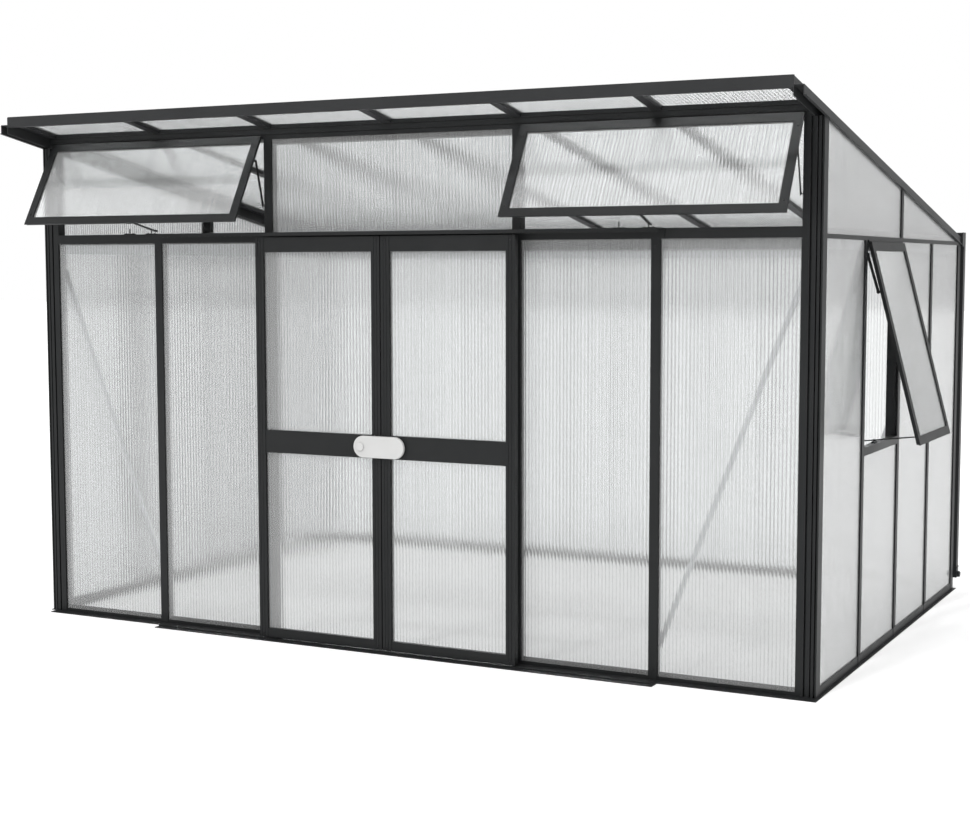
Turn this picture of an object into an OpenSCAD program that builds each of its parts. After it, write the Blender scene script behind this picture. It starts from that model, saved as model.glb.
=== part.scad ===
// Lean-to shaped free-standing greenhouse: an aluminium frame, powder coated
// anthracite, glazed with ribbed polycarbonate sheet.
//
// Frame of the model: X runs along the front wall from left to right, Y runs
// back into the greenhouse, Z is up. The origin is on the ground under the
// middle of the doorway, in the plane of the front wall's outer face.

/* [Plan] */
// Distance from one glazing bar to the next
bay = 624; // [500:1:750]
// Bays along the front wall
bays_wide = 6; // [6:2:8]
// Bays along a side wall
bays_deep = 4; // [4:1:6]
// From the last front bar's middle out to the side wall's face
side_return = 62; // [58:1:80]
// From the front wall's face back to the first side bar's middle
front_return = 36; // [32:1:60]

/* [Heights] */
// Underside of the front wall's waist rail
rail_z = 1807; // [1650:1:1900]
// Height of the front wall's waist rail
rail_h = 43; // [40:1:90]
// Underside of the side walls' rail
side_rail_z = 1804; // [1650:1:1900]
// Height of the side walls' rail
side_rail_h = 18; // [18:1:40]
// Underside of the roof sheet, at the front wall's face
roof_z0 = 2333; // [2250:1:2500]
// Fall of the roof for each unit of depth
roof_fall = 0.18; // [0.15:0.005:0.19]

/* [Frame sections] */
// Depth of the wall frame from the outer face to the inner face
frame_d = 57; // [45:1:60]
// Thickness of the glazing bars' outer flange
cap_t = 6; // [3:0.5:8]
// Width of the glazing bars' outer flange, on the front and back
bar_w = 40; // [30:1:50]
// Width of the glazing bars' outer flange, on the sides
side_bar_w = 36; // [30:1:46]
// Width of the web between two sheets
web_t = 6; // [3:0.5:8]
// Width of the tube behind the sheets
box_w = 26; // [20:1:30]
// Wall of the extruded tubes
wall_t = 2; // [1.5:0.1:3]

/* [Glazing] */
// Thickness of the polycarbonate sheet
sheet_t = 6; // [4:0.5:8]
// Play between a sheet's edge and the web beside it
sheet_play = 1; // [0.5:0.1:3]

/* [Sills] */
// Thickness of the sills' bottom plate
plate_t = 3; // [2:0.5:5]
// How far the front sill's plate stands out
front_flange = 47; // [20:1:60]
// How far the side sills' plate stands out
side_flange = 14; // [8:1:30]
// Height of the front sill's outer lip
front_lip = 18; // [12:1:30]
// Height of the side sills' outer lip
side_lip = 38; // [25:1:50]
// Height of the sills' inner lip, behind the sheets
inner_lip = 36; // [25:1:50]

/* [Roof] */
// How far the roof reaches out in front of the front wall
overhang = 283; // [150:1:350]
// How far the roof sheets reach past the back wall
back_overhang = 32; // [20:1:45]
// Depth of the rafters under the roof sheets
rafter_d = 16; // [12:1:30]
// Height of the fascia board
fascia_h = 48; // [40:1:70]
// Depth of the verge trims below the roof sheets
verge_d = 64; // [60:1:80]
// Height of the verge trims' outer wall
verge_h = 41; // [35:1:50]

/* [Gutter] */
// Depth of the gutter, front to back
gutter_d = 72; // [60:1:90]
// Height of the gutter's outer wall
gutter_h = 72; // [60:1:90]
// Width of the square downpipe
pipe_w = 44; // [30:1:50]
// Height of the downpipe's open end above the ground
pipe_z = 55; // [30:1:200]

/* [Doors] */
// Width of one door leaf
door_w = 648; // [560:1:660]
// Thickness of a door leaf
door_t = 28; // [22:1:32]
// Gap between a door leaf and the wall behind it
door_gap = 40; // [30:1:45]
// Half of the gap between the two closed doors
meeting_gap = 2.5; // [2.5:0.5:5]
// Width of the doors' stiles
stile_w = 43; // [36:1:60]
// Height of the doors' top rail
door_top_h = 66; // [50:1:90]
// Underside of the doors' middle rail
door_mid_z = 860; // [700:1:1100]
// Height of the doors' middle rail
door_mid_h = 102; // [100:1:130]
// Top of the doors' bottom rail
door_low_h = 52; // [45:1:90]
// Height of the doors' bottom edge above the ground
door_z = 10; // [9:1:20]
// Length of the two sliding tracks
track_l = 2510; // [2000:1:2600]
// How far the tracks' middle lies to the right of the doorway's
track_shift = 31; // [0:1:60]

/* [Latch] */
// Height of the latch plate
latch_h = 96; // [60:1:98]
// Length of the latch plate
latch_l = 254; // [180:1:280]
// Thickness of the latch plate
latch_t = 12; // [8:0.5:16]
// From the middle of the doorway to the latch's pivot
latch_x = 96; // [60:1:110]
// Diameter of the latch's turning knob
knob_d = 37; // [24:1:50]

/* [Vents] */
// Height of a roof vent's leaf
vent_h = 440; // [435:1:470]
// Width of a vent leaf's frame members
leaf_w = 38; // [30:1:45]
// Thickness of the vents' and the window's leaves
leaf_t = 16; // [14:1:24]
// Opening angle of the two front vents
vent_angle = 29; // [10:1:40]
// Height of the side window's leaf
window_h = 877; // [600:1:900]
// Opening angle of the side window
window_angle = 14.6; // [8:0.1:30]

/* [Hidden] */

frame_color = "#35373a";
roof_color = "#45474a";
sheet_color = "#cfd4d4";
latch_color = "#e6e6e4";
steel_color = "#b9bbbd";

half_w = bays_wide * bay / 2;             // middle of the outermost front bar
side_x = half_w + side_return;            // outer face of the right wall
depth = 2 * front_return + bays_deep * bay;  // outer face of the back wall
seat = cap_t + sheet_t;                   // where the tubes behind the sheets begin
edge = web_t / 2 + sheet_play;            // from a bar's middle to a sheet's edge
web_hold = 10;                            // depth of a sheet's hold in a rail
lips_top = max(front_lip, side_lip, inner_lip) + 1;
jamb_x = bay;                             // middle of the bars beside the doorway
post_bar_w = 30;                          // flange of the posts beside the end sheets
post_x = half_w - bar_w / 2 - 1;          // inner edge of the posts' flange
post_back_x = side_x - seat;              // outer side of the posts' tube
roof_x = half_w + bar_w / 2;              // edge of the roof's sheets and rafters
rail_top = rail_z + rail_h;
leg = 5;                                  // reach of the front rail's inner leg below it
leg_t = 20;                               // depth of the inner legs and the girts
side_hold = 7;                            // depth of a sheet's hold in a side rail
side_rail_top = side_rail_z + side_rail_h;
girt_z0 = side_rail_z - 44;               // the inner girts, behind the side rails
girt_z1 = side_rail_top + 26;
roof_back = depth + back_overhang;
roof_front = -overhang;
roof_cap_t = 4;                           // the caps that hold the roof sheets
lip_t = 3;                                // thin lips of sills, fascia and tracks
brace_w = 25;
brace_t = 3;
brace_z = 120;                            // height of the braces' feet
brace_top = rail_z - 117;                 // height of the braces' heads
door_y = -door_gap - door_t;              // outer face of the doors
door_top = rail_top - 22;                 // top of the doors, under the upper track
track_y = door_y - 8;                     // outer face of the upper track
sill_y = -108;                            // outer edge of the lower track
back_girt_h = 45;
vent_x = jamb_x + bar_w / 2 + 6;          // inner side of a vent's leaf
vent_w = post_x + 7 - vent_x;
vent_hinge_z = roof_z0 - verge_d + 7;
window_y = front_return + bay;            // middle of the bar in front of the window
window_w = bay - side_bar_w + 4;
window_hinge_z = side_rail_z - side_rail_h / 2;
window_sill_z = window_hinge_z - window_h - 25;
window_sill_h = 35;
latch_z = door_mid_z + door_mid_h / 2;
latch_back = door_y - 5;                  // clear of the other door
spindle_d = 14;
knob_h = 6;
latch_round = 4;                          // rounding of the latch plate's front edge
latch_nose = 36;                          // how far the latch reaches past its pivot
bead_d = 12;                              // the leaves' hinge bead
leaf_face_t = 5;                          // the leaves' outer face stands proud all round
leaf_step = 4;
stay_w = 12;
stay_t = 5;
stay_lean = 47;                           // how far a vent's stay slants to the left
stay_tail = 48;                           // reach of a stay past its pin
stay_rise = 22;                           // height of a vent's stay over the rail
foot_pitch = 129;                         // from one foot for a vent's stay to the other
peg_d = 5;
strut_w = 12;
eye_d = 16;
strut_t = 3;
strut_pin_d = 4;
strut_gap = 8;                            // from a bar's flange to the strut beside it
vent_strut = [301, 118];                  // down from the hinge: on the bar, on the leaf
window_strut = [50, 211];
groove_w = 3;                             // shadow grooves down the doors' stiles
groove_t = 1.5;

function roof_z(y) = roof_z0 - roof_fall * y;
back_beam_z = roof_z(depth) - verge_d - 20;   // underside of the back beam's legs

// ---- shared shapes ----

// A flat rectangle between two corners
module rect(x0, x1, y0, y1) {
    translate([x0, y0]) square([x1 - x0, y1 - y0]);
}

// A block between two corners
module block(x0, x1, y0, y1, z0, z1) {
    translate([x0, y0, z0]) cube([x1 - x0, y1 - y0, z1 - z0]);
}

// A profile drawn as (depth, height), run along X
module along_x(x0, x1) {
    translate([x0, 0, 0]) rotate([90, 0, 90]) linear_extrude(x1 - x0) children();
}

// A profile drawn as (distance in from the right wall's face, height), run along Y
module along_y(y0, y1) {
    translate([side_x, y1, 0]) mirror([1, 0, 0])
        rotate([90, 0, 0]) linear_extrude(y1 - y0) children();
}

// The roof's slope as an outline, between two heights over the sheets' underside
module slope_2d(y0, y1, low, high) {
    polygon([[y0, roof_z(y0) + low], [y1, roof_z(y1) + low],
             [y1, roof_z(y1) + high], [y0, roof_z(y0) + high]]);
}

module sloped(x0, x1, y0, y1, low, high) {
    along_x(x0, x1) slope_2d(y0, y1, low, high);
}

// Everything below the verge trims
module under_verge() {
    difference() {
        children();
        sloped(-side_x - 1, side_x + 1, -1, depth + 1, -verge_d, rail_z);
    }
}

module left_and_right() {
    children();
    mirror([1, 0, 0]) children();
}

module front_and_back() {
    children();
    translate([0, depth, 0]) mirror([0, 1, 0]) children();
}

// To the front wall's place, from the right wall's: bars stand on the side wall
module on_right_wall(y) {
    translate([side_x, y, 0]) rotate([0, 0, 90]) children();
}

// A glazing bar's flange and web, with the outer face on y = 0
module bar_face_2d(w) {
    rect(-w / 2, w / 2, 0, cap_t);
    rect(-web_t / 2, web_t / 2, 0, seat);
}

// A glazing bar's tube, behind the sheets
module bar_tube_2d() {
    difference() {
        rect(-box_w / 2, box_w / 2, seat, frame_d);
        rect(-box_w / 2 + wall_t, box_w / 2 - wall_t, seat + wall_t, frame_d - wall_t);
    }
}

// A glazing bar: its face ends at one height and its tube at another
module wall_bar(w, z0, face_top, tube_z0, tube_top) {
    translate([0, 0, z0]) linear_extrude(face_top - z0) bar_face_2d(w);
    translate([0, 0, tube_z0]) linear_extrude(tube_top - tube_z0) bar_tube_2d();
}

// A strip between two points of a flat drawing, with a round eye at each end
module strip_2d(a, b, w, eye_d) {
    tilt = atan2(b[1] - a[1], b[0] - a[0]);
    translate(a) rotate(tilt) rect(0, norm(b - a), -w / 2, w / 2);
    for (end = [a, b])
        translate(end) circle(d = eye_d, $fn = 24);
}

// Half of a section with a rounded upper edge: (distance from the middle, height)
module rounded_half_2d(r, h, round_r) {
    difference() {
        rect(0, r, 0, h);
        translate([r - round_r, h - round_r]) difference() {
            rect(0, round_r + 1, 0, round_r + 1);
            circle(r = round_r, $fn = 24);
        }
    }
}

// ---- sills ----

// A sill's lips as an outline: (depth in from the face, height)
module sill_lips_2d(outer_h) {
    rect(2, cap_t, 0, outer_h);
    rect(seat, seat + lip_t, 0, inner_lip);
}

// Room in the front or back sill for the bars' feet
module bar_feet(xs) {
    for (x = xs)
        block(x - bar_w / 2, x + bar_w / 2, -1, frame_d + 1, plate_t, lips_top);
    left_and_right()
        block(post_x, side_x + 1, -1, frame_d + 1, plate_t, lips_top);
}

module front_sill() color(frame_color) {
    plate = [[-side_x - side_flange, 0], [-roof_x - 20, 0], [-roof_x - 20, -front_flange],
             [side_x + side_flange, -front_flange], [side_x + side_flange, frame_d],
             [-side_x - side_flange, frame_d]];
    linear_extrude(plate_t) polygon(plate);
    difference() {
        along_x(-post_x, post_x) sill_lips_2d(front_lip);
        bar_feet([-2 * bay, -jamb_x, jamb_x, 2 * bay]);
        // the doorway has no lips to trip on
        block(-jamb_x, jamb_x, -1, frame_d, plate_t, lips_top);
    }
}

module back_sill() color(frame_color)
    translate([0, depth, 0]) mirror([0, 1, 0]) {
        block(-side_x - side_flange, side_x + side_flange, -side_flange, frame_d, 0, plate_t);
        difference() {
            along_x(-post_x, post_x) sill_lips_2d(side_lip);
            bar_feet([for (k = [1 : bays_wide - 1]) (k - bays_wide / 2) * bay]);
        }
    }

module side_sills() color(frame_color) left_and_right() {
    block(side_x - frame_d, side_x + side_flange, frame_d, depth - frame_d, 0, plate_t);
    difference() {
        along_y(frame_d, depth - frame_d) sill_lips_2d(side_lip);
        for (k = [1 : bays_deep - 1])
            block(side_x - frame_d - 1, side_x + 1,
                  front_return + k * bay - side_bar_w / 2, front_return + k * bay + side_bar_w / 2,
                  plate_t, lips_top);
    }
}

// ---- corner posts ----

// The right front corner's section: an end bar, two open grooves and the side's flange
module corner_2d() {
    rect(post_x, post_x + post_bar_w, 0, cap_t);
    rect(post_x + post_bar_w / 2, post_x + post_bar_w, 0, seat + wall_t);
    rect(side_x - 45, side_x - 28, 0, seat + wall_t);
    rect(side_x - 23, side_x - seat, 0, seat + wall_t);
    rect(side_x - cap_t, side_x, 0, frame_d);
    rect(side_x - seat - wall_t, side_x, seat, frame_d - seat);
    difference() {
        rect(post_x + cap_t, post_back_x, seat, frame_d);
        rect(post_x + cap_t + wall_t, post_back_x - wall_t, seat + wall_t, frame_d - wall_t);
    }
}

module corner_post()
    under_verge() translate([0, 0, plate_t]) linear_extrude(roof_z0) corner_2d();

module front_corner_posts() color(frame_color) left_and_right() corner_post();

module back_corner_posts() color(frame_color) left_and_right()
    under_verge() translate([0, depth, 0]) mirror([0, 1, 0])
        translate([0, 0, plate_t]) linear_extrude(roof_z0) corner_2d();

// ---- front wall ----

module front_bars() color(frame_color) left_and_right()
    translate([2 * bay, 0, 0]) wall_bar(bar_w, plate_t, rail_z, plate_t, rail_z - leg);

module door_jambs() color(frame_color) left_and_right()
    translate([jamb_x, 0, 0]) wall_bar(bar_w, plate_t, rail_z, plate_t, rail_z - leg);

module clerestory_bars() color(frame_color) left_and_right()
    translate([jamb_x, 0, 0]) under_verge()
        wall_bar(bar_w, rail_top, roof_z0, rail_top, roof_z0);

// A rail as an outline: the face, and the web that parts the sheets
module rail_2d(z, h, hold) {
    rect(0, cap_t, z, z + h);
    rect(0, seat, z + hold, z + h - hold);
}

// A flat tube behind the sheets as an outline
module leg_2d(z0, z1)
    difference() {
        rect(seat, seat + leg_t, z0, z1);
        rect(seat + wall_t, seat + leg_t - wall_t, z0 + wall_t, z1 - wall_t);
    }

module front_rail() color(frame_color) {
    along_x(-post_x, post_x) rail_2d(rail_z, rail_h, web_hold);
    along_x(-post_x - cap_t, post_x + cap_t) leg_2d(rail_z - leg, rail_top);
}

// Notches for the rafters in the top of a beam
module rafter_seats(y0, y1) {
    for (k = [0 : bays_wide])
        sloped((k - bays_wide / 2) * bay - bar_w / 2, (k - bays_wide / 2) * bay + bar_w / 2,
               y0 - 1, y1 + 1, -rafter_d, 1);
}

// A hollow beam under the roof sheets, between two depths
module roof_beam_2d(y0, y1, low) {
    inset = 4;
    difference() {
        slope_2d(y0, y1, -low, 0);
        slope_2d(y0 + seat + inset, y1 - seat - inset, -low + inset, -rafter_d - inset);
    }
}

module head_beam() color(frame_color) {
    groove = 4;
    // the leg behind the centre sheet's top edge
    along_x(-jamb_x + box_w / 2, jamb_x - box_w / 2)
        slope_2d(seat, seat + leg_t, -verge_d - leg_t, -verge_d + 1);
    difference() {
        along_x(-roof_x, roof_x) difference() {
            roof_beam_2d(0, frame_d, verge_d);
            // two shadow grooves on the face
            rect(-1, groove, roof_z0 - 21, roof_z0 - 17);
            rect(-1, groove, roof_z0 - 47, roof_z0 - 43);
        }
        // the centre sheet's top edge
        block(-jamb_x + edge - 1, jamb_x - edge + 1, cap_t, seat, rail_z, roof_z0 - verge_d + 20);
        rafter_seats(0, frame_d);
    }
}

module front_panels() color(sheet_color) {
    left_and_right() {
        block(jamb_x + edge, 2 * bay - edge, cap_t, seat, plate_t, rail_z + web_hold);
        block(2 * bay + edge, post_x + post_bar_w / 2 - sheet_play, cap_t, seat,
              plate_t, rail_z + web_hold);
    }
    block(-jamb_x + edge, jamb_x - edge, cap_t, seat, rail_top - web_hold,
          roof_z0 - verge_d + 20);
}

// ---- back wall ----

module back_bars() color(frame_color)
    for (k = [1 : bays_wide - 1])
        translate([(k - bays_wide / 2) * bay, depth, 0]) mirror([0, 1, 0])
            wall_bar(bar_w, plate_t, back_beam_z, plate_t, back_beam_z - back_girt_h);

module back_beam() color(frame_color) {
    low = back_beam_z;
    top = roof_z(depth - frame_d) - verge_d + 1;
    difference() {
        union() {
            along_x(-roof_x, roof_x) roof_beam_2d(depth - frame_d, depth, verge_d);
            along_x(-post_x, post_x) translate([depth, 0]) mirror([1, 0]) {
                rect(0, cap_t, low, top);
                rect(seat, seat + leg_t, low, top);
            }
        }
        rafter_seats(depth - frame_d, depth);
    }
}

module back_panels() color(sheet_color) {
    top = roof_z(depth) - verge_d;
    translate([0, depth, 0]) mirror([0, 1, 0]) {
        for (k = [1 : bays_wide - 2])
            block((k - bays_wide / 2) * bay + edge, (k + 1 - bays_wide / 2) * bay - edge,
                  cap_t, seat, plate_t, top);
        left_and_right()
            block(half_w - bay + edge, post_x + post_bar_w / 2 - sheet_play,
                  cap_t, seat, plate_t, top);
    }
}

// ---- side walls ----

module right_bar_set() {
    for (k = [1 : bays_deep - 1])
        on_right_wall(front_return + k * bay)
            wall_bar(side_bar_w, plate_t, side_rail_z, plate_t, girt_z0);
    under_verge() on_right_wall(front_return + floor(bays_deep / 2) * bay)
        wall_bar(side_bar_w, side_rail_top, roof_z0, girt_z1, roof_z0);
}

module right_bars() color(frame_color) right_bar_set();
module left_bars() color(frame_color) mirror([1, 0, 0]) right_bar_set();

module side_rails() color(frame_color) left_and_right() under_verge()
    along_y(frame_d, depth - frame_d) rail_2d(side_rail_z, side_rail_h, side_hold);

// The sheets over the rail: two in each gable, cut to the roof's slope
module gable_panels() {
    mid = front_return + floor(bays_deep / 2) * bay;
    spans = [[frame_d - web_hold, mid - edge], [mid + edge, depth - frame_d + web_hold]];
    for (s = spans)
        along_x(side_x - seat, side_x - cap_t)
            polygon([[s[0], side_rail_top - side_hold], [s[1], side_rail_top - side_hold],
                     [s[1], roof_z(s[1]) - 30], [s[0], roof_z(s[0]) - 30]]);
}

function side_sheet(k) = [
    k == 0 ? frame_d - web_hold : front_return + k * bay + edge,
    k == bays_deep - 1 ? depth - frame_d + web_hold : front_return + (k + 1) * bay - edge];

module side_panel(k, top)
    block(side_x - seat, side_x - cap_t, side_sheet(k)[0], side_sheet(k)[1], plate_t, top);

module left_panels() color(sheet_color) mirror([1, 0, 0]) {
    for (k = [0 : bays_deep - 1])
        side_panel(k, side_rail_z + side_hold);
    gable_panels();
}

module right_panels() color(sheet_color) {
    for (k = [0 : bays_deep - 1])
        side_panel(k, k == 1 ? window_sill_z + web_hold : side_rail_z + side_hold);
    gable_panels();
}

// Inner girts, and flat diagonal braces on the inside of the corner bays
module brace_front(foot_x) {
    foot = [foot_x, brace_z];
    head = [half_w - brace_w / 2, brace_top];
    translate([0, frame_d + brace_t, 0]) rotate([90, 0, 0]) linear_extrude(brace_t)
        polygon([[foot[0] - brace_w / 2, foot[1]], [foot[0] + brace_w / 2, foot[1]],
                 [head[0] + brace_w / 2, head[1]], [head[0] - brace_w / 2, head[1]]]);
}

module brace_side() {
    foot = [front_return + bay, brace_z];
    head = [frame_d, brace_top];
    along_x(side_x - frame_d - brace_t, side_x - frame_d)
        polygon([[foot[0] - brace_w / 2, foot[1]], [foot[0] + brace_w / 2, foot[1]],
                 [head[0] + brace_w, head[1]], [head[0], head[1]]]);
}

module braces() color(steel_color) {
    left_and_right() {
        brace_front(2 * bay);
        translate([0, depth, 0]) mirror([0, 1, 0]) brace_front(2 * bay + 4 * brace_w);
        front_and_back() brace_side();
        // the side walls' girts
        under_verge() along_y(frame_d, depth - frame_d) leg_2d(girt_z0, girt_z1);
    }
    // the back wall's girt
    translate([0, depth, 0]) mirror([0, 1, 0])
        along_x(-post_x - cap_t, post_x + cap_t) leg_2d(back_beam_z - back_girt_h, back_beam_z);
}

// ---- roof ----

module rafters() color(roof_color)
    for (k = [0 : bays_wide])
        translate([(k - bays_wide / 2) * bay, 0, 0]) {
            difference() {
                sloped(-bar_w / 2, bar_w / 2, roof_front + lip_t, roof_back, -rafter_d, 0);
                sloped(-bar_w / 2 + wall_t, bar_w / 2 - wall_t, roof_front, roof_back + 1,
                       -rafter_d + wall_t, -wall_t);
            }
            sloped(-web_t / 2, web_t / 2, roof_front + lip_t, roof_back,
                   -wall_t, sheet_t + roof_cap_t);
            sloped(-bar_w / 2, bar_w / 2, roof_front + lip_t, roof_back,
                   sheet_t, sheet_t + roof_cap_t);
        }

module roof_panels() color(sheet_color)
    for (k = [0 : bays_wide - 1])
        sloped((k - bays_wide / 2) * bay + edge, (k + 1 - bays_wide / 2) * bay - edge,
               roof_front + lip_t, roof_back, 0, sheet_t);

module verges() color(roof_color) left_and_right() {
    over = sheet_t + roof_cap_t;
    drop = verge_d - verge_h;
    sloped(roof_x, roof_x + lip_t, roof_front, depth, -verge_d, over);
    sloped(roof_x, side_x, roof_front, depth, -drop - lip_t, -drop);
    sloped(side_x - lip_t, side_x, roof_front, depth, -verge_d, -drop);
    sloped(side_x - lip_t, side_x + 9, roof_front, depth, -verge_d, -verge_d + lip_t);
}

module fascia() color(roof_color) {
    top = roof_z(roof_front) + sheet_t + roof_cap_t + lip_t;
    along_x(-roof_x, roof_x) {
        rect(roof_front, roof_front + lip_t, top - fascia_h, top);
        rect(roof_front, roof_front + 26, top - fascia_h, top - fascia_h + lip_t);
        rect(roof_front, roof_front + 18, top - lip_t + 0.5, top);
    }
}

// ---- gutter ----

module gutter() color(roof_color) {
    z0 = roof_z(depth) - gutter_h;
    end_x = side_x + 11;
    end_y = depth + gutter_d;
    inner_h = gutter_h - rafter_d - 10;
    difference() {
        along_x(-end_x, end_x) {
            rect(depth, depth + lip_t, z0, z0 + inner_h);
            rect(depth, end_y, z0, z0 + lip_t);
            rect(end_y - lip_t, end_y, z0, z0 + gutter_h);
        }
        // the outlet into the downpipe
        block(end_x - pipe_w + wall_t, end_x - lip_t, end_y - pipe_w + wall_t, end_y - lip_t,
              z0 - 1, z0 + lip_t + 1);
    }
    left_and_right()
        block(end_x - lip_t, end_x, depth, depth + gutter_d, z0, z0 + gutter_h);
}

module downpipe() color(roof_color) {
    x1 = side_x + 11;
    y1 = depth + gutter_d;
    difference() {
        block(x1 - pipe_w, x1, y1 - pipe_w, y1, pipe_z, roof_z(depth) - gutter_h);
        block(x1 - pipe_w + wall_t, x1 - wall_t, y1 - pipe_w + wall_t, y1 - wall_t,
              pipe_z - 1, roof_z(depth));
    }
}

// ---- front vents, fixed open ----

module at_open_vent()
    left_and_right()
        translate([vent_x, 0, vent_hinge_z]) rotate([-vent_angle, 0, 0])
            translate([0, -leaf_t, 0]) children();

// A leaf's rails and stiles with a groove for the sheet, hanging down from z = 0
module leaf_groove(w, h) {
    hold = leaf_w - web_hold;
    translate([hold, leaf_t / 2 - sheet_t / 2, -h + hold])
        cube([w - 2 * hold, sheet_t, h - 2 * hold]);
}

module leaf_rails(w, h)
    difference() {
        union() {
            block(0, w, 0, leaf_face_t, -leaf_w, 0);
            block(0, w, 0, leaf_face_t, -h, -h + leaf_w);
            block(leaf_step, w - leaf_step, leaf_face_t, leaf_t, -leaf_w, 0);
            block(leaf_step, w - leaf_step, leaf_face_t, leaf_t, -h + leaf_step, -h + leaf_w);
        }
        leaf_groove(w, h);
    }

module leaf_stiles(w, h)
    difference() {
        union() {
            block(0, leaf_w, 0, leaf_face_t, -h + leaf_w, -leaf_w);
            block(w - leaf_w, w, 0, leaf_face_t, -h + leaf_w, -leaf_w);
            block(leaf_step, leaf_w, leaf_face_t, leaf_t, -h + leaf_w, -leaf_w);
            block(w - leaf_w, w - leaf_step, leaf_face_t, leaf_t, -h + leaf_w, -leaf_w);
        }
        leaf_groove(w, h);
    }

// The bead that a leaf turns on, as an outline with its flat side on x = 0
module bead_2d()
    difference() {
        circle(d = bead_d, $fn = 32);
        rect(0, bead_d, -bead_d, bead_d);
    }

// A stay lying flat along X from its pin to the leaf, with a curled free end
module stay_arm(reach, tail) {
    difference() {
        block(-tail, reach, -stay_w / 2, stay_w / 2, -stay_t / 2, stay_t / 2);
        for (k = [1 : 3])
            translate([k * 2 * stay_w, 0, -stay_t]) cylinder(d = peg_d + 2, h = 2 * stay_t, $fn = 24);
    }
    translate([-tail, 0, stay_t / 2]) rotate([90, 0, 0])
        cylinder(d = 2 * stay_t, h = stay_w, center = true, $fn = 24);
}

// The foot that a stay is pinned to, standing on z = 0
module stay_peg(rise) {
    foot_l = 60;
    foot_w = 14;
    foot_t = 4;
    block(-foot_l / 2, foot_l / 2, -foot_w / 2, foot_w / 2, 0, foot_t);
    for (side = [-1, 1])
        translate([side * foot_l / 3, 0, foot_t]) cylinder(d = 8, h = 3, $fn = 24);
    cylinder(d = peg_d, h = rise + stay_t, $fn = 24);
}

module vent_rails() color(frame_color) {
    at_open_vent() leaf_rails(vent_w, vent_h);
    left_and_right()
        along_x(vent_x, vent_x + vent_w) translate([0, vent_hinge_z]) bead_2d();
}

module vent_stiles() color(frame_color) at_open_vent() leaf_stiles(vent_w, vent_h);
module vent_panels() color(sheet_color) at_open_vent() leaf_groove(vent_w, vent_h);

// A strut of an open leaf, drawn on the front wall beside a bar's flange that ends at
// x = 0. Its ends are given by their distances down from the hinge: bar, then leaf.
module strut(hinge_z, angle, ends) {
    pin = [cap_t / 2, hinge_z - ends[0]];
    lift = eye_d / 2 + 1;
    head = [lift * cos(angle) - ends[1] * sin(angle),
            hinge_z - lift * sin(angle) - ends[1] * cos(angle)];
    along_x(strut_gap, strut_gap + strut_t) strip_2d(pin, head, strut_w, eye_d);
    // its pin in the bar's flange
    along_x(0, strut_gap + strut_t / 2) translate(pin) circle(d = strut_pin_d, $fn = 24);
    // its lug on the leaf
    translate([0, 0, hinge_z]) rotate([-angle, 0, 0])
        block(strut_gap + strut_t / 2, strut_gap + 2 * strut_t, 0, strut_w,
              -ends[1] - eye_d / 4, -ends[1] + eye_d / 4);
}

// A strut at each end of a leaf, beside the bars' flanges at x0 and x1
module leaf_struts(x0, x1, hinge_z, angle, ends) {
    translate([x0, 0, 0]) strut(hinge_z, angle, ends);
    translate([x1, 0, 0]) mirror([1, 0, 0]) strut(hinge_z, angle, ends);
}

// A stay from a leaf's bottom rail, with its middle on x = 0, to a pin on the rail below
module leaf_stay(hinge_z, angle, leaf_h, rail_z1, rise) {
    from_face = leaf_t / 4;
    along = leaf_h - leaf_w / 2;
    pin_y = seat + leg_t / 2;
    leaf_y = from_face * cos(angle) - along * sin(angle);
    leaf_z = hinge_z - from_face * sin(angle) - along * cos(angle);
    run = norm([stay_lean, pin_y - leaf_y]);
    climb = leaf_z - rail_z1 - rise;
    translate([-stay_lean, pin_y, rail_z1]) {
        stay_peg(rise);
        translate([0, 0, rise]) rotate([0, 0, atan2(leaf_y - pin_y, stay_lean)])
            rotate([0, -atan2(climb, run), 0]) stay_arm(norm([run, climb]), stay_tail);
    }
    // the bracket on the leaf
    translate([0, 0, hinge_z]) rotate([-angle, 0, 0])
        block(-stay_w, stay_w, 0, leaf_t / 2, -along - stay_w, -along + stay_w);
}

module vent_stays() color(frame_color) {
    for (side = [-1, 1])
        translate([side * (vent_x + vent_w / 2), 0, 0]) {
            leaf_stay(vent_hinge_z, vent_angle, vent_h, rail_top, stay_rise);
            // a second foot, to hold the vent less far open
            translate([-stay_lean - foot_pitch, seat + leg_t / 2, rail_top]) stay_peg(stay_rise);
        }
    left_and_right()
        leaf_struts(jamb_x + bar_w / 2, post_x, vent_hinge_z, vent_angle, vent_strut);
}

// ---- side window, fixed open ----

module at_open_window()
    translate([side_x, window_y + bay / 2 - window_w / 2, window_hinge_z])
        rotate([0, -window_angle, 0]) rotate([0, 0, 90]) translate([0, -leaf_t, 0]) children();

module window_rails() color(frame_color) {
    at_open_window() leaf_rails(window_w, window_h);
    along_y(window_y + bay / 2 - window_w / 2, window_y + bay / 2 + window_w / 2)
        translate([0, window_hinge_z + bead_d / 2]) bead_2d();
}

module window_stiles() color(frame_color) at_open_window() leaf_stiles(window_w, window_h);
module window_panel() color(sheet_color) at_open_window() leaf_groove(window_w, window_h);

module window_sill() color(frame_color)
    along_y(window_y + side_bar_w / 2, window_y + bay - side_bar_w / 2) {
        rect(0, cap_t, window_sill_z, window_sill_z + window_sill_h);
        rect(0, seat + leg_t, window_sill_z + web_hold, window_sill_z + window_sill_h);
    }

module window_stay() color(frame_color) on_right_wall(window_y + bay / 2) {
    half_gap = (bay - side_bar_w) / 2;
    leaf_stay(window_hinge_z, window_angle, window_h, window_sill_z + window_sill_h,
              stay_rise / 2);
    leaf_struts(-half_gap, half_gap, window_hinge_z, window_angle, window_strut);
}

// ---- sliding doors ----

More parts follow.
